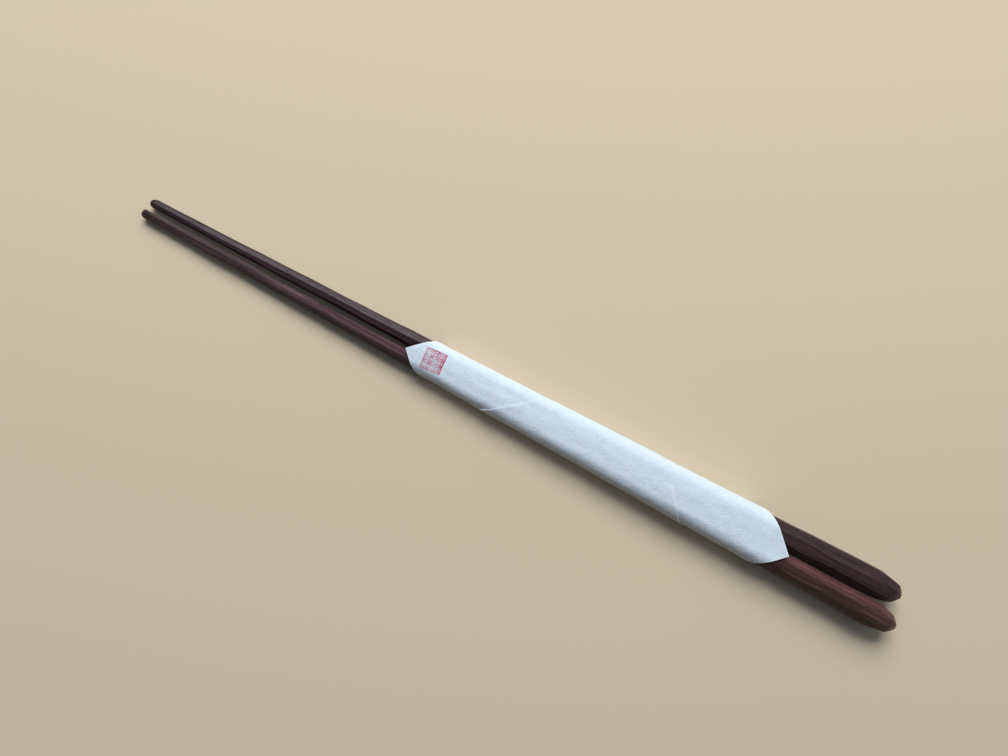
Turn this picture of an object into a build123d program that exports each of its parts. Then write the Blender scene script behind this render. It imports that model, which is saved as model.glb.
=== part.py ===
# Pair of hand-carved wooden chopsticks, held side by side by a square of paper rolled round them.
# X runs from the tips to the butt ends, Y across the pair, Z up from the table that it lies on.

import math
import os
from dataclasses import dataclass
from random import Random

from build123d import *

# Chopsticks: the front one is the longer, and the tips of the two are a little out of step.
front_length = 238.0
back_length = 235.0
tip_step = 0.7
front_tip_width = 2.9
front_butt_width = 8.25
front_swell = 1.2
back_tip_width = 2.75
back_butt_width = 8.55
back_swell = 1.05
tip_gap = 1.0
butt_gap = 0.1

# Knife work: each stick has eight sides, and each side is worked in a few runs of short hollow strokes.
# Between the runs the knife is set anew, so the sides turn slowly round the stick from its tip to its butt.
sides = 8
stroke_length = 18.0
stroke_hollow = 0.16
stroke_dip = 0.2
run_strokes = 4
run_overlap = 3.0
run_slant = 25.0
run_turn = 3.0
run_in = 0.08
front_tip_roll = -3.0
front_butt_roll = 4.0
back_tip_roll = 19.0
back_butt_roll = 34.0

# Carved ends: a long and a short bevel on every side, wide and slanting at the butt, blunt at the tip.
butt_long_bevel = 8.0
butt_short_bevel = 2.0
butt_shoulder = 0.66
butt_end = 0.24
tip_long_bevel = 1.3
tip_short_bevel = 0.4
tip_shoulder = 0.8
tip_end = 0.45

# Paper sleeve: a square sheet rolled corner to corner, its middle this far from the front butt end.
sheet_side = 83.3
sheet_from_butt = 94.0
sheet_aside = 0.9
sheet_turn = 9.0
paper = 0.15
wall = 2 * paper
slack_at_tips = 0.15
slack_at_butts = 0.08
pressed_flat = 0.05
paper_sag = 0.03
run_out = 2.0


@dataclass
class Stick:
    length: float
    tip_x: float
    tip_width: float
    butt_width: float
    swell: float
    side: int
    tip_roll: float
    butt_roll: float
    seed: int

    def along(self, x):
        return (x - self.tip_x) / self.length

    def half_width(self, x):
        along = min(max(self.along(x), 0), 1)
        return (self.tip_width + (self.butt_width - self.tip_width) * along**self.swell) / 2

    def roll(self, x):
        return self.tip_roll + (self.butt_roll - self.tip_roll) * self.along(x)

    def inward(self, x):
        # How far the stick reaches to its neighbour, to which it may turn a ridge or a flat.
        spacing = 360 / sides
        off_flat = abs((self.roll(x) + 90 + spacing / 2) % spacing - spacing / 2)
        return self.half_width(x) * math.cos(math.pi / sides) / math.cos(math.radians(off_flat))

    def axis_y(self, x):
        at_tip = self.inward(self.tip_x) + tip_gap / 2
        at_butt = self.inward(self.tip_x + self.length) + butt_gap / 2
        return self.side * (at_tip + (at_butt - at_tip) * self.along(x))

    def reach(self, x):
        return abs(self.axis_y(x)) + self.half_width(x)

    def cut_depth(self, x):
        # The knife goes deeper where the stick is thicker.
        return (1 + 2 * self.half_width(x) / self.butt_width) / 2


front_tip_x = -front_length / 2
front = Stick(
    length=front_length,
    tip_x=front_tip_x,
    tip_width=front_tip_width,
    butt_width=front_butt_width,
    swell=front_swell,
    side=-1,
    tip_roll=front_tip_roll,
    butt_roll=front_butt_roll,
    seed=5,
)
back = Stick(
    length=back_length,
    tip_x=front_tip_x + tip_step,
    tip_width=back_tip_width,
    butt_width=back_butt_width,
    swell=back_swell,
    side=1,
    tip_roll=back_tip_roll,
    butt_roll=back_butt_roll,
    seed=8,
)

# The sleeve is measured at the two points of its sheet, where it has its smallest and largest section.
sheet_x = front_length / 2 - sheet_from_butt
point = sheet_side / math.sqrt(2)
tip_point_x = sheet_x - point
butt_point_x = sheet_x + point


def between(x, at_tips, at_butts):
    along = (x - tip_point_x) / (butt_point_x - tip_point_x)
    return at_tips + (at_butts - at_tips) * along


def sleeve_round(x):
    # Radius of the sleeve's rounded sides, to the outside of the wall.
    at_tips = max(s.half_width(tip_point_x) for s in (front, back)) + slack_at_tips
    at_butts = max(s.half_width(butt_point_x) for s in (front, back)) + slack_at_butts
    return between(x, at_tips, at_butts) + wall


def sleeve_side(stick, x):
    # How far the sleeve stands out on this stick's side, to the outside of the wall.
    at_tips = stick.reach(tip_point_x) + slack_at_tips
    at_butts = stick.reach(butt_point_x) + slack_at_butts
    return between(x, at_tips, at_butts) + wall


def sleeve_half(x):
    # Half of the sleeve's width.
    return (sleeve_side(back, x) + sleeve_side(front, x)) / 2


def sleeve_mid(x):
    # Where the middle of that width lies.
    return (sleeve_side(back, x) - sleeve_side(front, x)) / 2


def sleeve_flat(x):
    # Half of the flat between the rounded sides.
    return sleeve_half(x) - sleeve_round(x)


def axis_z(x):
    # Height of the plane in which both sticks lie, which is also where the sleeve is widest.
    return sleeve_round(x) - pressed_flat


# Carved stick


def run_of_strokes(stick, x, count, hand):
    """Where the strokes of one run begin and end along the stick, and how high in the wood."""
    points = []
    for _ in range(count + 1):
        dip = stroke_dip * stick.cut_depth(stick.tip_x + x) * hand.random()
        points.append((x, stick.half_width(stick.tip_x + x) * math.cos(math.pi / sides) - dip))
        x += stroke_length * hand.uniform(0.7, 1.3)
    return points


def bevels(stick, end, way, hand):
    """Outline of the two bevels of one side at an end, from the end inwards; way points into the stick."""
    height = stick.half_width(stick.tip_x + end) * math.cos(math.pi / sides)
    if way < 0:
        long, short, shoulder, face = butt_long_bevel, butt_short_bevel, butt_shoulder, butt_end
    else:
        long, short, shoulder, face = tip_long_bevel, tip_short_bevel, tip_shoulder, tip_end
    return (
        (0, height * face),
        (way * short * hand.uniform(0.8, 1.2), height * shoulder * hand.uniform(0.95, 1.08)),
        (way * long * hand.uniform(0.8, 1.15), height),
    )


def carve(stick):
    """One stick, cut side by side out of a square length of wood."""
    hand = Random(stick.seed)
    tip = Vector(stick.tip_x, stick.axis_y(stick.tip_x), axis_z(stick.tip_x))
    butt_x = stick.tip_x + stick.length
    butt = Vector(butt_x, stick.axis_y(butt_x), axis_z(butt_x))
    along = (butt - tip).normalized()
    upright = Plane(origin=tip, x_dir=along, z_dir=Vector(0, 0, 1) - along * along.Z)
    billet = 2 * max(stick.tip_width, stick.butt_width)

    def facing(x, side, off=0.0, lean=0.0):
        # Plane along the stick and square to the knife, which lies across this side.
        turn = math.radians(stick.roll(stick.tip_x + x) + 360 * side / sides + off)
        outward = upright.z_dir * math.cos(turn) + upright.y_dir * math.sin(turn)
        blade = along.cross(outward) + along * math.tan(math.radians(lean))
        return Plane(origin=tip + along * x, x_dir=outward.cross(blade), z_dir=blade)

    with BuildPart() as carved:
        with BuildSketch(Plane(origin=tip, x_dir=upright.y_dir, z_dir=along)):
            Rectangle(billet, billet)
        extrude(amount=stick.length)
        for side in range(sides):
            x = -stroke_length * hand.random()
            count = hand.randint(2, run_strokes)
            while x < stick.length:
                points = run_of_strokes(stick, x, count, hand)
                middle = (x + points[-1][0]) / 2
                x = points[-1][0] - run_overlap
                count = run_strokes
                off = run_turn * hand.uniform(-1, 1)
                lean = run_slant * hand.uniform(-1, 1)
                shorter = math.cos(math.radians(lean))
                points = [((at - middle) * shorter, height) for at, height in points]
                enter = (points[0][0] - stroke_length, points[0][1] + stroke_length * run_in)
                leave = (points[-1][0] + stroke_length, points[-1][1] + stroke_length * run_in)
                depth = stick.cut_depth(stick.tip_x + middle)
                with BuildSketch(facing(middle, side, off, lean)):
                    with BuildLine():
                        Line(enter, points[0])
                        for begin, finish in zip(points, points[1:]):
                            SagittaArc(begin, finish, -stroke_hollow * depth * hand.uniform(0.6, 1.4))
                        Polyline(points[-1], leave, (leave[0], billet), (enter[0], billet), enter)
                    make_face()
                extrude(amount=billet, both=True, clean=False, mode=Mode.SUBTRACT)
            for end, way in ((0, 1), (stick.length, -1)):
                face, shoulder, brow = bevels(stick, end, way, hand)
                with BuildSketch(facing(end, side)):
                    with BuildLine():
                        Polyline(
                            face,
                            shoulder,
                            brow,
                            (brow[0], billet),
                            (-way * billet, billet),
                            (-way * billet, face[1]),
                            close=True,
                        )
                    make_face()
                extrude(amount=billet, both=True, clean=False, mode=Mode.SUBTRACT)
    return carved.part


with BuildPart() as chopstick_front:
    add(carve(front))
chopstick_front.part.label = "chopstick_front"

with BuildPart() as chopstick_back:
    add(carve(back))
chopstick_back.part.label = "chopstick_back"

# Paper sleeve


def tube(offset):
    """Bar of the sleeve's section, this much outside its wall: two cones and the flat between them."""
    start = tip_point_x - run_out
    end = butt_point_x + run_out
    with BuildPart() as bar:
        for side in (-1, 1):
            begin = Vector(start, sleeve_mid(start) + side * sleeve_flat(start), axis_z(start))
            finish = Vector(end, sleeve_mid(end) + side * sleeve_flat(end), axis_z(end))
            with Locations(Plane(origin=begin, z_dir=finish - begin)):
                Cone(
                    sleeve_round(start) + offset,
                    sleeve_round(end) + offset,
                    (finish - begin).length,
                    align=(Align.CENTER, Align.CENTER, Align.MIN),
                )
        for x in (start, end):
            with BuildSketch(Plane.YZ.offset(x)):
                with Locations((sleeve_mid(x), axis_z(x))):
                    Rectangle(2 * sleeve_flat(x), 2 * (sleeve_round(x) + offset - paper_sag))
        loft(ruled=True)
    return bar.part


def corner_block(base, aside, near, far, depth):
    """Block below this plane with the plan of a square on its corner, from one half diagonal to another."""
    with BuildPart() as block:
        for half_diagonal, down in ((near, 0), (far, depth)):
            with BuildSketch(base.offset(-down)):
                with Locations((0, aside)):
                    Rectangle(half_diagonal * math.sqrt(2), half_diagonal * math.sqrt(2), rotation=45)
        loft(ruled=True)
    return block.part


# A sheet that goes round a quarter of the side falls back by more than it shows from above.
fall_back = math.pi / 2 - 1
rise = (sleeve_round(butt_point_x) - sleeve_round(tip_point_x)) / (butt_point_x - tip_point_x)
top_plane = Plane(
    origin=(sheet_x, sleeve_mid(sheet_x), axis_z(sheet_x) + sleeve_round(sheet_x)),
    x_dir=(1, 0, 2 * rise),
    z_dir=(-2 * rise, 0, 1),
)
height = 2 * sleeve_round(butt_point_x)

# The last turn comes over the top as a flap with slanting edges, and is tucked underneath.
once_round = 4 * sleeve_flat(sheet_x) + 2 * math.pi * sleeve_round(sheet_x)
flap_half = point - once_round
flap_side = 2 * sleeve_half(butt_point_x)
tip_edge = flap_side / math.tan(math.radians(45 - sheet_turn))
butt_edge = flap_side / math.tan(math.radians(45 + sheet_turn))
with BuildPart() as flap:
    add(tube(paper))
    add(tube(-paper), mode=Mode.SUBTRACT)
    with BuildSketch(Plane(origin=(sheet_x, sleeve_mid(sheet_x), 0))):
        Polygon(
            (-flap_half - tip_edge, -flap_side),
            (flap_half + butt_edge, -flap_side),
            (flap_half - butt_edge, flap_side),
            (tip_edge - flap_half, flap_side),
            align=None,
        )
    extrude(amount=2 * height, both=True, mode=Mode.INTERSECT)

with BuildPart() as paper_sleeve:
    add(tube(0))
    add(tube(-wall), mode=Mode.SUBTRACT)
    # The sheet's two points lie on top, and its edges run back from them on both sides.
    add(
        corner_block(top_plane, -sheet_aside, point, point - fall_back * height, height),
        mode=Mode.INTERSECT,
    )
    # On the underside each end is notched, because there the sheet is shorter by half a turn.
    for end, x in ((-1, tip_point_x), (1, butt_point_x)):
        shoulder = x - end * (sleeve_flat(x) + math.pi / 2 * sleeve_round(x))
        notch = 2 * sleeve_half(shoulder) + fall_back * sleeve_round(shoulder)
        beyond = Plane(origin=(x + end * notch, sleeve_mid(shoulder), axis_z(shoulder)))
        deeper = 2 * notch + fall_back * sleeve_round(x)
        add(
            corner_block(beyond, sheet_aside, 2 * notch, deeper, sleeve_round(x)),
            mode=Mode.SUBTRACT,
        )
    add(flap.part)
    # Its own weight and the table press the underside flat.
    split(bisect_by=Plane.XY, keep=Keep.TOP)
paper_sleeve.part.label = "paper_sleeve"

os.makedirs("parts", exist_ok=True)
export_step(chopstick_front.part, "parts/chopstick_front.step")
export_step(chopstick_back.part, "parts/chopstick_back.step")
export_step(paper_sleeve.part, "parts/paper_sleeve.step")
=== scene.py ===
import math

import bpy
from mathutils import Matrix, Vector, noise


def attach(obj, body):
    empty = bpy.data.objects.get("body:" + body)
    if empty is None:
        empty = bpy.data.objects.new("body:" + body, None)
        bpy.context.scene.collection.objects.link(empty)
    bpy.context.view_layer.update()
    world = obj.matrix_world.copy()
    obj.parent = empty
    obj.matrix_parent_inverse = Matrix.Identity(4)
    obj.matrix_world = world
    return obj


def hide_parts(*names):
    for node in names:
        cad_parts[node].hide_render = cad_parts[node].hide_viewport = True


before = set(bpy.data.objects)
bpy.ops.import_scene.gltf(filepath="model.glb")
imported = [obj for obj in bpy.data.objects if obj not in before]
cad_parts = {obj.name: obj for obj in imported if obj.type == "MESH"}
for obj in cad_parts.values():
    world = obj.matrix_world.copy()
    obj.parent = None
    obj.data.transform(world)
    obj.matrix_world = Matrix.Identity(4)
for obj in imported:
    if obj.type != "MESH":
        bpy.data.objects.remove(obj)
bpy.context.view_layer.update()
scene = bpy.context.scene
scene.view_settings.view_transform = "Standard"


# Chopsticks
# Two sticks of dark rosewood, each whittled by hand from one length of wood, so that its eight sides
# are runs of short hollow knife cuts. The ridges are rubbed soft, and the wood is oiled, not varnished.

MM = 0.001
SIDES_OF_A_STICK = 8
COLUMNS_TO_A_SIDE = 20
SKIN_OVER_THE_RIDGES = 1.06
END_RINGS, NEAR_THE_END = 6, 1.0
RING_CUTS = (17, 17)
LONG_EDGE, MOSTLY_ALONG = 2.0, 0.9
RUB, RUBS = 0.5, 2


def only_this(piece):
    """Leaves one object selected and active, in object mode."""
    bpy.ops.object.select_all(action="DESELECT")
    piece.select_set(True)
    bpy.context.view_layer.objects.active = piece


def pick(piece, kind, wanted):
    """Selects the faces or edges that wanted() says yes to, and opens edit mode on them."""
    only_this(piece)
    bpy.ops.object.mode_set(mode="EDIT")
    bpy.ops.mesh.select_mode(type=kind)
    bpy.ops.mesh.select_all(action="DESELECT")
    bpy.ops.object.mode_set(mode="OBJECT")
    for element in piece.data.polygons if kind == "FACE" else piece.data.edges:
        element.select = wanted(element)
    bpy.ops.object.mode_set(mode="EDIT")


def whittled_stick(name, node, tip, butt, tip_radius, butt_radius):
    """A tapered rod with close rings and columns, drawn on to the carved node and rubbed soft."""
    tip, butt = Vector(tip) * MM, Vector(butt) * MM
    along = (butt - tip).normalized()
    bpy.ops.object.select_all(action="DESELECT")
    bpy.ops.mesh.primitive_cone_add(
        vertices=SIDES_OF_A_STICK * COLUMNS_TO_A_SIDE,
        radius1=tip_radius * SKIN_OVER_THE_RIDGES * MM,
        radius2=butt_radius * SKIN_OVER_THE_RIDGES * MM,
        depth=(butt - tip).length,
        location=(tip + butt) / 2,
        rotation=along.to_track_quat("Z", "X").to_euler(),
    )
    stick = bpy.context.object
    stick.name = stick.data.name = name
    bpy.ops.object.transform_apply(location=True, rotation=True, scale=True)

    # Rings on the two ends, so that the end cuts keep their shape
    for end, radius in ((tip, tip_radius), (butt, butt_radius)):

        def end_face(face):
            return len(face.vertices) > 4 and (face.center - end).length < NEAR_THE_END * MM

        pick(stick, "FACE", end_face)
        for _ in range(END_RINGS):
            bpy.ops.mesh.inset(thickness=radius * SKIN_OVER_THE_RIDGES / (END_RINGS + 1) * MM)
        bpy.ops.mesh.poke()
        bpy.ops.object.mode_set(mode="OBJECT")

    # Rings all along it
    def lengthwise(edge):
        a, b = (stick.data.vertices[v].co for v in edge.vertices)
        return (b - a).length > LONG_EDGE * MM and abs((b - a).normalized().dot(along)) > MOSTLY_ALONG

    for cuts in RING_CUTS:
        pick(stick, "EDGE", lengthwise)
        bpy.ops.mesh.subdivide(number_cuts=cuts)
        bpy.ops.object.mode_set(mode="OBJECT")

    only_this(stick)
    drawn = stick.modifiers.new("drawn_on", "SHRINKWRAP")
    drawn.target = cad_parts[node]
    drawn.wrap_method = "NEAREST_SURFACEPOINT"
    bpy.ops.object.modifier_apply(modifier=drawn.name)
    rubbed = stick.modifiers.new("rubbed", "SMOOTH")
    rubbed.factor = RUB
    rubbed.iterations = RUBS
    bpy.ops.object.modifier_apply(modifier=rubbed.name)
    bpy.ops.object.shade_smooth()
    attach(stick, "root")
    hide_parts(node)
    return stick


front = whittled_stick(
    "front_stick",
    "chopstick_front",
    tip=(-119.0, -1.842, 1.741),
    butt=(119.0, -3.870, 4.604),
    tip_radius=1.45,
    butt_radius=4.125,
)
back = whittled_stick(
    "back_stick",
    "chopstick_back",
    tip=(-118.3, 1.844, 1.749),
    butt=(116.7, 4.074, 4.576),
    tip_radius=1.375,
    butt_radius=4.275,
)


def ramp(tree, source, *stops):
    """Colour ramp on a value; each stop is a position and a grey or a colour."""
    node = tree.nodes.new("ShaderNodeValToRGB")
    while len(node.color_ramp.elements) < len(stops):
        node.color_ramp.elements.new(0.5)
    for element, (position, colour) in zip(node.color_ramp.elements, stops):
        element.position = position
        element.color = (colour,) * 3 + (1,) if isinstance(colour, (int, float)) else (*colour, 1)
    tree.links.new(source, node.inputs["Fac"])
    return node.outputs["Color"]


def calc(tree, operation, a, b=None, c=None):
    """Math node on sockets or numbers."""
    node = tree.nodes.new("ShaderNodeMath")
    node.operation = operation
    for socket, value in zip(node.inputs, (a, b, c)):
        if isinstance(value, bpy.types.NodeSocket):
            tree.links.new(value, socket)
        elif value is not None:
            socket.default_value = value
    return node.outputs[0]


def stretched_noise(tree, place, size, detail, distortion=0.0, shift=(0, 0, 0), turn=0.0):
    """Noise on a place vector; its grain has this size along each axis, turned about the third."""
    mapping = tree.nodes.new("ShaderNodeMapping")
    mapping.vector_type = "TEXTURE"
    mapping.inputs["Location"].default_value = shift
    mapping.inputs["Rotation"].default_value = (0, 0, turn)
    mapping.inputs["Scale"].default_value = size
    tree.links.new(place, mapping.inputs["Vector"])
    node = tree.nodes.new("ShaderNodeTexNoise")
    node.inputs["Scale"].default_value = 1
    node.inputs["Detail"].default_value = detail
    node.inputs["Distortion"].default_value = distortion
    tree.links.new(mapping.outputs["Vector"], node.inputs["Vector"])
    return node.outputs["Fac"]


def mixed(tree, share, a, b, kind="MIX"):
    """Colour mix of sockets or colours."""
    node = tree.nodes.new("ShaderNodeMix")
    node.data_type = "RGBA"
    node.blend_type = kind
    for socket, value in ((node.inputs[0], share), (node.inputs[6], a), (node.inputs[7], b)):
        if isinstance(value, bpy.types.NodeSocket):
            tree.links.new(value, socket)
        else:
            socket.default_value = value if isinstance(value, (int, float)) else (*value, 1)
    return node.outputs[2]


# Grain of the wood: broad dark bands, fine streaks and short open pores, all drawn out along the stick.
BAND, BAND_SHARE = (90 * MM, 2.0 * MM, 2.0 * MM), 0.55
STREAK, STREAK_SHARE = (22 * MM, 0.62 * MM, 0.62 * MM), 0.45
PORE, PORE_SHADE = (2.4 * MM, 0.36 * MM, 0.36 * MM), (0.006, 0.003, 0.003)
PORE_DARKNESS, PORE_FADE = 0.5, -0.55
WOOD_ROUGHNESS, STREAK_ROUGHNESS, PORE_ROUGHNESS = 0.40, 0.22, -0.06
STREAK_HEIGHT, PORE_HEIGHT = 0.6, 0.6
grain = bpy.data.node_groups.new("rosewood_grain", "ShaderNodeTree")
for socket, way, kind in (
    ("Place", "INPUT", "NodeSocketVector"),
    ("Light wood", "INPUT", "NodeSocketColor"),
    ("Dark wood", "INPUT", "NodeSocketColor"),
    ("Painted light way", "INPUT", "NodeSocketVector"),
    ("Painted light from", "INPUT", "NodeSocketFloat"),
    ("Colour", "OUTPUT", "NodeSocketColor"),
    ("Roughness", "OUTPUT", "NodeSocketFloat"),
    ("Height", "OUTPUT", "NodeSocketFloat"),
):
    grain.interface.new_socket(socket, in_out=way, socket_type=kind)
into = grain.nodes.new("NodeGroupInput")
out = grain.nodes.new("NodeGroupOutput")
bands = stretched_noise(grain, into.outputs["Place"], BAND, 2, 0.5)
streaks = stretched_noise(grain, into.outputs["Place"], STREAK, 3, 0.3)
pores = stretched_noise(grain, into.outputs["Place"], PORE, 2)
banded = calc(grain, "MULTIPLY", bands, BAND_SHARE)
streaked = calc(grain, "MULTIPLY", streaks, STREAK_SHARE)
tone = calc(grain, "ADD", banded, streaked)
# One side of a stick can be painted paler: painted light on the side towards the lamp, and painted shade on
# the side away from it.
toward_lamp_side = grain.nodes.new("ShaderNodeVectorMath")
toward_lamp_side.operation = "DOT_PRODUCT"
grain.links.new(into.outputs["Place"], toward_lamp_side.inputs[0])
grain.links.new(into.outputs["Painted light way"], toward_lamp_side.inputs[1])
painted_side_light = calc(grain, "SUBTRACT", toward_lamp_side.outputs["Value"], into.outputs["Painted light from"])
tone = ramp(grain, calc(grain, "ADD", tone, painted_side_light), (0.40, 0.0), (0.60, 1.0))
pore = ramp(grain, pores, (0.36, 0.0), (0.52, 1.0))
colour = mixed(grain, tone, into.outputs["Dark wood"], into.outputs["Light wood"])
in_pore = calc(grain, "MULTIPLY_ADD", pore, PORE_FADE, PORE_DARKNESS)
colour = mixed(grain, in_pore, colour, PORE_SHADE)
# The wood is tinted purple at the tips, a painted sky reflection, and browner at the butts. The tips have
# soaked up oil and are darker, and near the butt ends the colour goes to a lighter brown.
TIPS_X, TIPS_PAINTED_SHEEN = -118.8, (0.92, 1.04, 1.2)
BUTTS_X, BUTTS_WITHOUT_SHEEN = 117.8, (1.08, 0.98, 0.88)
SOAKED_LENGTH, SOAKED_WOOD = 6.0, (0.009, 0.005, 0.006)
BUTT_END_LENGTH, BUTT_END_WOOD = 6.0, (0.125, 0.055, 0.043)
apart = grain.nodes.new("ShaderNodeSeparateXYZ")
grain.links.new(into.outputs["Place"], apart.inputs["Vector"])
from_tip = calc(grain, "SUBTRACT", apart.outputs["X"], TIPS_X * MM)
share_along = calc(grain, "DIVIDE", from_tip, (BUTTS_X - TIPS_X) * MM)
# Painted reflection: the tips are tinted purple as if they mirrored the sky, the butts are left browner.
painted_sheen_tint = ramp(grain, share_along, (0.1, TIPS_PAINTED_SHEEN), (0.9, BUTTS_WITHOUT_SHEEN))
colour = mixed(grain, 1.0, colour, painted_sheen_tint, "MULTIPLY")
soaked = ramp(grain, calc(grain, "DIVIDE", from_tip, SOAKED_LENGTH * MM), (0.1, 0.7), (1.0, 0.0))
colour = mixed(grain, soaked, colour, SOAKED_WOOD)
# Near the butt ends the colour is mixed towards a lighter brown.
from_butt = calc(grain, "SUBTRACT", BUTTS_X * MM, apart.outputs["X"])
butt_end_share = ramp(grain, calc(grain, "DIVIDE", from_butt, BUTT_END_LENGTH * MM), (0.3, 0.4), (0.8, 0.0))
colour = mixed(grain, butt_end_share, colour, BUTT_END_WOOD)
grain.links.new(colour, out.inputs["Colour"])
rough = calc(grain, "MULTIPLY", streaks, STREAK_ROUGHNESS)
rough = calc(grain, "ADD", rough, calc(grain, "MULTIPLY", pore, PORE_ROUGHNESS))
grain.links.new(calc(grain, "ADD", rough, WOOD_ROUGHNESS), out.inputs["Roughness"])
height = calc(grain, "MULTIPLY", pore, PORE_HEIGHT)
height = calc(grain, "ADD", height, calc(grain, "MULTIPLY", streaks, STREAK_HEIGHT))
grain.links.new(height, out.inputs["Height"])
WOOD_GLOSS, GRAIN_BUMP, GRAIN_DEPTH = 0.25, 0.35, 0.05


def rosewood(name, light, dark, painted_light_way=(0, 0, 0), painted_light_from=0.0):
    """Oiled dark wood with its own two tones; painted light and shade can make it paler one way, by so much
    per metre.
    """
    material = bpy.data.materials.new(name)
    material.use_nodes = True
    tree = material.node_tree
    shader = tree.nodes["Principled BSDF"]
    where = tree.nodes.new("ShaderNodeTexCoord")
    group = tree.nodes.new("ShaderNodeGroup")
    group.node_tree = grain
    group.inputs["Light wood"].default_value = (*light, 1)
    group.inputs["Dark wood"].default_value = (*dark, 1)
    group.inputs["Painted light way"].default_value = painted_light_way
    group.inputs["Painted light from"].default_value = painted_light_from
    tree.links.new(where.outputs["Object"], group.inputs["Place"])
    tree.links.new(group.outputs["Colour"], shader.inputs["Base Color"])
    tree.links.new(group.outputs["Roughness"], shader.inputs["Roughness"])
    shader.inputs["Specular IOR Level"].default_value = WOOD_GLOSS
    bump = tree.nodes.new("ShaderNodeBump")
    bump.inputs["Strength"].default_value = GRAIN_BUMP
    bump.inputs["Distance"].default_value = GRAIN_DEPTH * MM
    tree.links.new(group.outputs["Height"], bump.inputs["Height"])
    tree.links.new(bump.outputs["Normal"], shader.inputs["Normal"])
    return material


# The front stick is painted paler on its upper side towards the lamp and darker on its lower near side:
# painted light and shade.
front_wood = rosewood(
    "rosewood_front",
    light=(0.126, 0.060, 0.068),
    dark=(0.024, 0.008, 0.010),
    painted_light_way=(0.31, 36, 9),
    painted_light_from=-0.01,
)
front.data.materials.append(front_wood)
back_wood = rosewood("rosewood_back", light=(0.056, 0.028, 0.038), dark=(0.011, 0.004, 0.006))
back.data.materials.append(back_wood)


# Paper sleeve
# One square sheet of thin white handmade paper, laid corner to corner under the pair and rolled round it
# nearly three and a half times. Two corners are points on top, and the last one is tucked underneath.

SHEET_SIDE = 83.3
SHEET_MIDDLE_X = 25.0
SHEET_CELLS = 150
SHEET_SKEW = math.radians(-0.26)
POINTS_ASIDE = -0.8
POINT = SHEET_SIDE / math.sqrt(2)
PAPER_MIDDLE, PAPER_EDGE = 0.06, 0.14
# The roll's section at the middle of the sheet, and what it gains from one point of the sheet to the other
HALF_FLAT, HALF_FLAT_GAIN = 3.0540, 1.0327
ROUND, ROUND_GAIN = 3.5230, 1.4171
ASIDE, ASIDE_GAIN = 0.1493, 0.0852
PRESSED_FLAT = 0.05
# How far the turns, the loose last turn and the free edges stand off
MIDDLE_TURN, LAYER = -0.187, 0.068
LOOSE, LOOSE_ON_TOP = 0.03, 0.06
FLAP_EDGE, FLAP_EDGE_WIDTH = 0.13, 3.0
FREE_EDGE, FREE_EDGE_WIDTH = 0.04, 2.5
FLAP_LINE_FROM_Y, FLAP_LINE_TO_Y = -1.5, 2.0
TOP_ARCH, ARCH_FADES_FROM_X, ARCH_FADES_TO_X = 0.36, 45, 84
# Soft dents, by their depth, and by their length and width in two sizes
DENT, DENT_SUNK = 0.085, 0.25
LONG_DENT, LONG_DENT_WIDTH = 9, 2.6
SHORT_DENT, SHORT_DENT_WIDTH = 4, 1.5
THICK_RIM, THICK_RIM_ENDS = 0.4, 1.6


def sleeve_section(x):
    """Half of the flat, radius of the rounded sides, and the middle, of the roll at this place along it."""
    far = (x - SHEET_MIDDLE_X) / (2 * POINT)
    return HALF_FLAT + HALF_FLAT_GAIN * far, ROUND + ROUND_GAIN * far, ASIDE + ASIDE_GAIN * far


def rolled(x, turns):
    """Place on the roll and the way out of it, this many turns on from the line between the two points."""
    flat, radius, middle = sleeve_section(x)
    round_it = 4 * flat + 2 * math.pi * radius
    run = (POINTS_ASIDE + turns * round_it) % round_it
    half_circle = math.pi * radius
    if run < flat:
        y, z, out_y, out_z = run, radius, 0, 1
    elif run < flat + half_circle:
        turn = (run - flat) / radius
        out_y, out_z = math.sin(turn), math.cos(turn)
        y, z = flat + radius * out_y, radius * out_z
    elif run < 3 * flat + half_circle:
        y, z, out_y, out_z = 2 * flat + half_circle - run, -radius, 0, -1
    elif run < 3 * flat + 2 * half_circle:
        turn = (run - 3 * flat - half_circle) / radius
        out_y, out_z = -math.sin(turn), -math.cos(turn)
        y, z = -flat + radius * out_y, radius * out_z
    else:
        y, z, out_y, out_z = run - round_it, radius, 0, 1
    return Vector((x, middle + y, radius - PRESSED_FLAT + z)), Vector((0, out_y, out_z))


def smooth(value, low, high):
    """Rises softly from 0 at low to 1 at high."""
    t = min(max((value - low) / (high - low), 0), 1)
    return t * t * (3 - 2 * t)


bpy.ops.object.select_all(action="DESELECT")
bpy.ops.mesh.primitive_grid_add(
    x_subdivisions=SHEET_CELLS, y_subdivisions=SHEET_CELLS, size=SHEET_SIDE * MM, calc_uvs=True
)
sleeve = bpy.context.object
sleeve.name = sleeve.data.name = "rolled_paper_sleeve"
bpy.ops.object.mode_set(mode="EDIT")
bpy.ops.mesh.select_all(action="SELECT")
bpy.ops.mesh.quads_convert_to_tris(quad_method="FIXED", ngon_method="BEAUTY")
bpy.ops.object.mode_set(mode="OBJECT")

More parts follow.
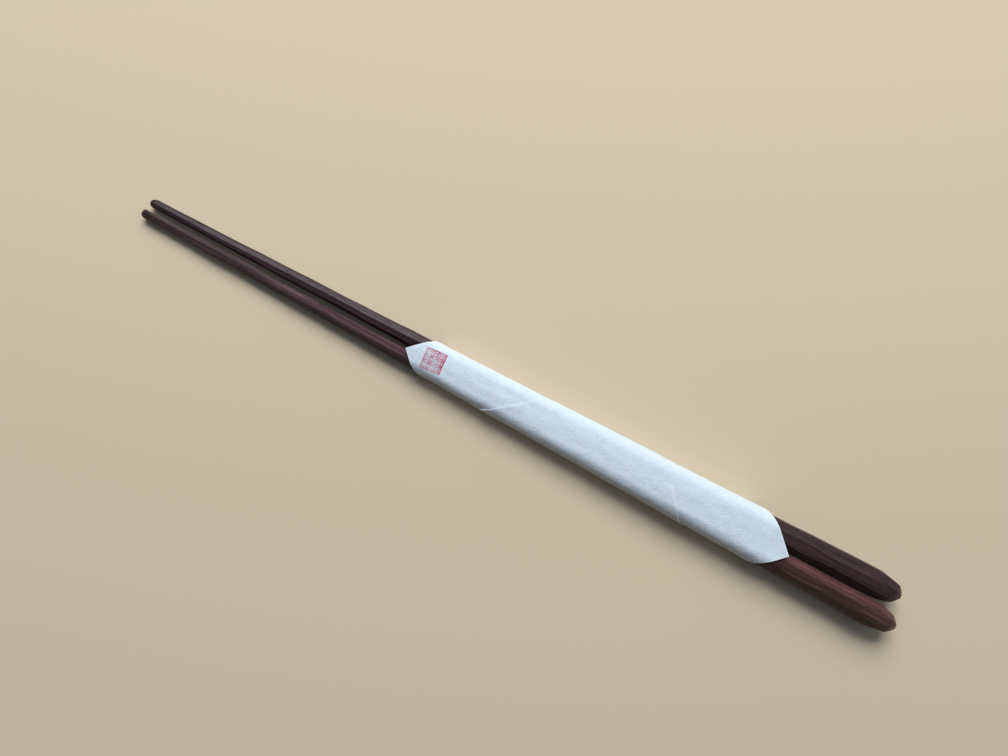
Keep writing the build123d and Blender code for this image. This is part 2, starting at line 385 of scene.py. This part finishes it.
# A sheet rolled on a tapering bundle runs in rings round the far point where the taper would close.
flat_a, radius_a, _ = sleeve_section(SHEET_MIDDLE_X)
flat_b, radius_b, _ = sleeve_section(SHEET_MIDDLE_X + 1)
girth = 4 * flat_a + 2 * math.pi * radius_a
girth_gain = 4 * (flat_b - flat_a) + 2 * math.pi * (radius_b - radius_a)
to_closing = girth / girth_gain
edges = sleeve.vertex_groups.new(name="thicker")
for vertex in sleeve.data.vertices:
    p, q = vertex.co.x / MM, vertex.co.y / MM
    rim = SHEET_SIDE / 2 - max(abs(p), abs(q))
    along, over = (p + q) / math.sqrt(2), (q - p) / math.sqrt(2)
    along, over = (
        along * math.cos(SHEET_SKEW) - over * math.sin(SHEET_SKEW),
        along * math.sin(SHEET_SKEW) + over * math.cos(SHEET_SKEW),
    )
    reach = math.hypot(to_closing + along, over)
    turns = math.atan2(over, to_closing + along) / girth_gain
    x = SHEET_MIDDLE_X + reach - to_closing
    place, outward = rolled(x, turns)
    flat, radius, middle = sleeve_section(x)
    above = smooth(outward.z, -0.75, 0.1)
    lift = MIDDLE_TURN + LAYER * turns
    # The paper arches a little over the gap between the sticks, less so at the butt end.
    across = math.cos(math.pi / 2 * (place.y - middle) / (flat + radius))
    arch = TOP_ARCH * (1 - smooth(x, ARCH_FADES_FROM_X, ARCH_FADES_TO_X))
    lift += arch * smooth(outward.z, 0, 0.3) * across * across
    # The last turn lies loosely on the one below, and all free edges stand off a little.
    on_top = smooth(outward.z, 0.1, 0.8)
    lift += (LOOSE * above + LOOSE_ON_TOP * on_top) * smooth(turns, 0.5, 0.8)
    # Only rims that are seen stand off: those of the inner turns and the far half of the flap lie close.
    on_flap = smooth(turns, 0.4, 0.7)
    far_side = smooth(place.y, FLAP_LINE_FROM_Y, FLAP_LINE_TO_Y)
    seen = smooth(turns, -0.35, -0.2) * (1 - on_flap * far_side)
    lift += FLAP_EDGE * on_top * on_flap * seen * (1 - smooth(rim, 0.0, FLAP_EDGE_WIDTH))
    lift += FREE_EDGE * above * seen * (1 - smooth(rim, 0.0, FREE_EDGE_WIDTH))
    # Soft dents where the paper spans the knife cuts below it
    across_long = place.y / LONG_DENT_WIDTH, place.z / LONG_DENT_WIDTH + 7
    across_short = place.y / SHORT_DENT_WIDTH + 3, place.z / SHORT_DENT_WIDTH
    wave = noise.noise(Vector((x / LONG_DENT, *across_long)))
    wave += 0.5 * noise.noise(Vector((x / SHORT_DENT, *across_short)))
    lift += above * DENT * (wave - DENT_SUNK)
    place += outward * lift
    place.z = max(place.z, PAPER_MIDDLE)
    vertex.co = place * MM
    edges.add([vertex.index], above * seen * (1 - smooth(rim, THICK_RIM, THICK_RIM_ENDS)), "REPLACE")

only_this(sleeve)
thick = sleeve.modifiers.new("paper", "SOLIDIFY")
thick.thickness = PAPER_EDGE * MM
thick.offset = 0
thick.vertex_group = "thicker"
thick.thickness_vertex_group = PAPER_MIDDLE / PAPER_EDGE
bpy.ops.object.modifier_apply(modifier=thick.name)
bpy.ops.object.shade_smooth_by_angle(angle=math.radians(50))

washi = bpy.data.materials.new("washi_paper")
washi.use_nodes = True
tree = washi.node_tree
shader = tree.nodes["Principled BSDF"]
where = tree.nodes.new("ShaderNodeUVMap")
where.uv_map = sleeve.data.uv_layers[0].name
# The sheet in millimetres, turned so that its diagonal lies along the sticks
spread = tree.nodes.new("ShaderNodeMapping")
spread.inputs["Location"].default_value = (-POINT, 0, 0)
spread.inputs["Rotation"].default_value = (0, 0, -math.pi / 4)
spread.inputs["Scale"].default_value = (SHEET_SIDE, SHEET_SIDE, 1)
tree.links.new(where.outputs["UV"], spread.inputs["Vector"])
on_sheet = spread.outputs["Vector"]

# Pulp and fibres: soft clouds, and long hairs lying in every direction
CLOUD, CLOUD_SHARE = (2.1, 2.1, 1), 0.6
PULP, PULP_SHARE, PULP_HEIGHT = (0.8, 0.5, 1), 0.4, 0.8
HAIR, HAIR_CURL, HAIR_SHARE, HAIR_HEIGHT = (3.2, 0.26, 1), 1.6, 0.35, 0.14
THIN_PULP, THICK_PULP = (0.59, 0.70, 0.80), (0.70, 0.795, 0.875)
HAIR_WHITE = (0.79, 0.85, 0.89)
PAPER_ROUGHNESS, PAPER_GLOSS = 0.9, 0.25
PAPER_BUMP, PAPER_DEPTH = 0.7, 0.15
clouds = stretched_noise(tree, on_sheet, CLOUD, 3)
pulp = stretched_noise(tree, on_sheet, PULP, 2)
hairs = None
for turn, shift in ((0.2, 3.1), (0.9, 11.7), (1.7, 23.9), (2.5, 37.3)):
    hair = stretched_noise(tree, on_sheet, HAIR, 1, HAIR_CURL, (shift, shift * 2, 0), turn)
    hair = ramp(tree, hair, (0.58, 0.0), (0.72, 1.0))
    hairs = hair if hairs is None else calc(tree, "MAXIMUM", hairs, hair)
clouded = calc(tree, "MULTIPLY", clouds, CLOUD_SHARE)
tone = calc(tree, "ADD", clouded, calc(tree, "MULTIPLY", pulp, PULP_SHARE))
colour = ramp(tree, tone, (0.30, THIN_PULP), (0.70, THICK_PULP))
colour = mixed(tree, calc(tree, "MULTIPLY", hairs, HAIR_SHARE), colour, HAIR_WHITE)

# A painted highlight along the thin rim of the sheet, where its cut edge catches the light
RIM_HIGHLIGHT_SHARE, RIM_PAINTED_HIGHLIGHT = 0.7, (0.86, 0.90, 0.93)
apart = tree.nodes.new("ShaderNodeSeparateXYZ")
tree.links.new(on_sheet, apart.inputs["Vector"])
along, over = apart.outputs["X"], apart.outputs["Y"]
from_middle = calc(tree, "ADD", calc(tree, "ABSOLUTE", along), calc(tree, "ABSOLUTE", over))
rim_highlight = ramp(tree, calc(tree, "SUBTRACT", POINT, from_middle), (0.25, 1.0), (0.5, 0.0))
# On the flap the painted highlight fades out past the middle of the top, where the paper lies close.
fade_from = girth - POINTS_ASIDE + FLAP_LINE_FROM_Y
past = calc(tree, "SUBTRACT", over, calc(tree, "MULTIPLY_ADD", along, girth_gain, fade_from))
past = calc(tree, "DIVIDE", past, FLAP_LINE_TO_Y - FLAP_LINE_FROM_Y)
close = ramp(tree, past, (0.0, 1.0), (1.0, 0.0))
rim_highlight = calc(tree, "MULTIPLY", rim_highlight, close)
colour = mixed(tree, calc(tree, "MULTIPLY", rim_highlight, RIM_HIGHLIGHT_SHARE), colour, RIM_PAINTED_HIGHLIGHT)

# Stamp: a square of red ink by the tip end, with a frame and a plain net of rings in it
STAMP_X, STAMP_Y, STAMP_TURN = -50.4, 0.51, math.radians(5)
STAMP_HALF, STAMP_FRAME, STAMP_NET, STAMP_LINE = 3.05, 0.42, 1.7, 0.11
STAMP_FILM, STAMP_INK, INK_DAB = 0.36, (0.46, 0.06, 0.11), (3.0, 3.0, 1)
set_square = tree.nodes.new("ShaderNodeMapping")
set_square.vector_type = "TEXTURE"
set_square.inputs["Location"].default_value = (STAMP_X, STAMP_Y, 0)
set_square.inputs["Rotation"].default_value = (0, 0, STAMP_TURN)
tree.links.new(on_sheet, set_square.inputs["Vector"])
apart = tree.nodes.new("ShaderNodeSeparateXYZ")
tree.links.new(set_square.outputs["Vector"], apart.inputs["Vector"])
across, down = apart.outputs["X"], apart.outputs["Y"]
out_from = calc(tree, "MAXIMUM", calc(tree, "ABSOLUTE", across), calc(tree, "ABSOLUTE", down))
inside = calc(tree, "LESS_THAN", out_from, STAMP_HALF)
border = calc(tree, "GREATER_THAN", out_from, STAMP_HALF - STAMP_FRAME)
cell = []
for part in (across, down):
    in_cell = calc(tree, "FLOORED_MODULO", part, STAMP_NET)
    cell.append(calc(tree, "ABSOLUTE", calc(tree, "SUBTRACT", in_cell, STAMP_NET / 2)))
ring_radius = STAMP_NET / math.sqrt(2)
rings = None
for i in (0, 1):
    far = calc(tree, "POWER", calc(tree, "ADD", cell[i], STAMP_NET / 2), 2)
    near = calc(tree, "POWER", calc(tree, "SUBTRACT", cell[1 - i], STAMP_NET / 2), 2)
    from_centre = calc(tree, "SQRT", calc(tree, "ADD", far, near))
    off = calc(tree, "ABSOLUTE", calc(tree, "SUBTRACT", from_centre, ring_radius))
    line = calc(tree, "LESS_THAN", off, STAMP_LINE)
    rings = line if rings is None else calc(tree, "MAXIMUM", rings, line)
inked = calc(tree, "MAXIMUM", calc(tree, "MAXIMUM", border, rings), STAMP_FILM)
inked = calc(tree, "MULTIPLY", inside, inked)
dabs = stretched_noise(tree, on_sheet, INK_DAB, 3, 0, (5, 9, 0))
inked = calc(tree, "MULTIPLY", inked, ramp(tree, dabs, (0.36, 0.45), (0.60, 0.95)))
colour = mixed(tree, inked, colour, STAMP_INK)
tree.links.new(colour, shader.inputs["Base Color"])
shader.inputs["Roughness"].default_value = PAPER_ROUGHNESS
shader.inputs["Specular IOR Level"].default_value = PAPER_GLOSS

surface = calc(tree, "MULTIPLY", pulp, PULP_HEIGHT)
surface = calc(tree, "ADD", surface, calc(tree, "MULTIPLY", hairs, HAIR_HEIGHT))
surface = calc(tree, "ADD", surface, clouds)
bump = tree.nodes.new("ShaderNodeBump")
bump.inputs["Strength"].default_value = PAPER_BUMP
bump.inputs["Distance"].default_value = PAPER_DEPTH * MM
tree.links.new(surface, bump.inputs["Height"])
tree.links.new(bump.outputs["Normal"], shader.inputs["Normal"])
sleeve.data.materials.append(washi)

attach(sleeve, "root")
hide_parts("paper_sleeve")


# Floor, light and camera
# A plain pale floor that throws warm light back up and runs out softly into a pale backdrop, one large
# soft window to the far side, and a weak sky that is darker on the near side. The camera looks almost
# straight down from about a hand's length above.

FLOOR_SEEN, FLOOR_BOUNCE = (0.70, 0.58, 0.42), (0.60, 0.40, 0.20)
FLOOR_FADES_FROM, FLOOR_FADES_TO = 0.28, 0.75
BACKDROP = (0.58, 0.52, 0.43)
NEAR_SKY, HIGH_SKY, FAR_SKY = (0.035, 0.03, 0.028), (0.145, 0.18, 0.23), (0.40, 0.46, 0.55)
SENSOR_WIDTH, IMAGE_WIDTH, FOCAL_PIXELS = 36, 1008, 757


def as_background(tree):
    """1 for the rays that show a background: those of the camera, of gloss and of glass."""
    rays = tree.nodes.new("ShaderNodeLightPath")
    in_gloss = calc(tree, "MAXIMUM", rays.outputs["Is Glossy Ray"], rays.outputs["Is Transmission Ray"])
    return calc(tree, "MAXIMUM", rays.outputs["Is Camera Ray"], in_gloss)


bpy.ops.object.select_all(action="DESELECT")
bpy.ops.mesh.primitive_plane_add(size=6)
floor = bpy.context.object
floor.name = "floor"
pale = bpy.data.materials.new("pale_floor")
pale.use_nodes = True
tree = pale.node_tree
shader = tree.nodes["Principled BSDF"]
colour = mixed(tree, as_background(tree), FLOOR_BOUNCE, FLOOR_SEEN)
tree.links.new(colour, shader.inputs["Base Color"])
shader.inputs["Roughness"].default_value = 0.9
shader.inputs["Specular IOR Level"].default_value = 0.1
where = tree.nodes.new("ShaderNodeTexCoord")
reach = tree.nodes.new("ShaderNodeVectorMath")
reach.operation = "LENGTH"
tree.links.new(where.outputs["Object"], reach.inputs[0])
there = ramp(tree, reach.outputs["Value"], (FLOOR_FADES_FROM, 1.0), (FLOOR_FADES_TO, 0.0))
tree.links.new(there, shader.inputs["Alpha"])
floor.data.materials.append(pale)

window = bpy.data.lights.new("window", "AREA")
window.shape = "RECTANGLE"
window.size, window.size_y = 0.9, 0.6
window.energy = 13.7
window.color = (0.98, 0.98, 0.98)
lamp = bpy.data.objects.new("window", window)
scene.collection.objects.link(lamp)
lamp.location = (-0.321, 0.737, 0.750)
lamp.rotation_euler = (-lamp.location).to_track_quat("-Z", "Y").to_euler()

sky = bpy.data.worlds.new("sky")
scene.world = sky
sky.use_nodes = True
tree = sky.node_tree
facing = tree.nodes.new("ShaderNodeTexCoord")
parts = tree.nodes.new("ShaderNodeSeparateXYZ")
tree.links.new(facing.outputs["Generated"], parts.inputs["Vector"])
near_to_far = calc(tree, "MULTIPLY_ADD", parts.outputs["Y"], 0.5, 0.5)
level = ramp(tree, near_to_far, (0.1, NEAR_SKY), (0.5, HIGH_SKY), (0.9, FAR_SKY))
level = mixed(tree, as_background(tree), level, BACKDROP)
tree.links.new(level, tree.nodes["Background"].inputs["Color"])
tree.nodes["Background"].inputs["Strength"].default_value = 1.0

camera = bpy.data.cameras.new("camera")
camera.sensor_width = SENSOR_WIDTH
camera.lens = SENSOR_WIDTH * FOCAL_PIXELS / IMAGE_WIDTH
camera.clip_start = 0.005
eye = bpy.data.objects.new("camera", camera)
scene.collection.objects.link(eye)
eye.location = (0.00043, -0.00692, 0.21359)
eye.rotation_euler = (math.radians(3.77), math.radians(-0.009), math.radians(28.377))
scene.camera = eye
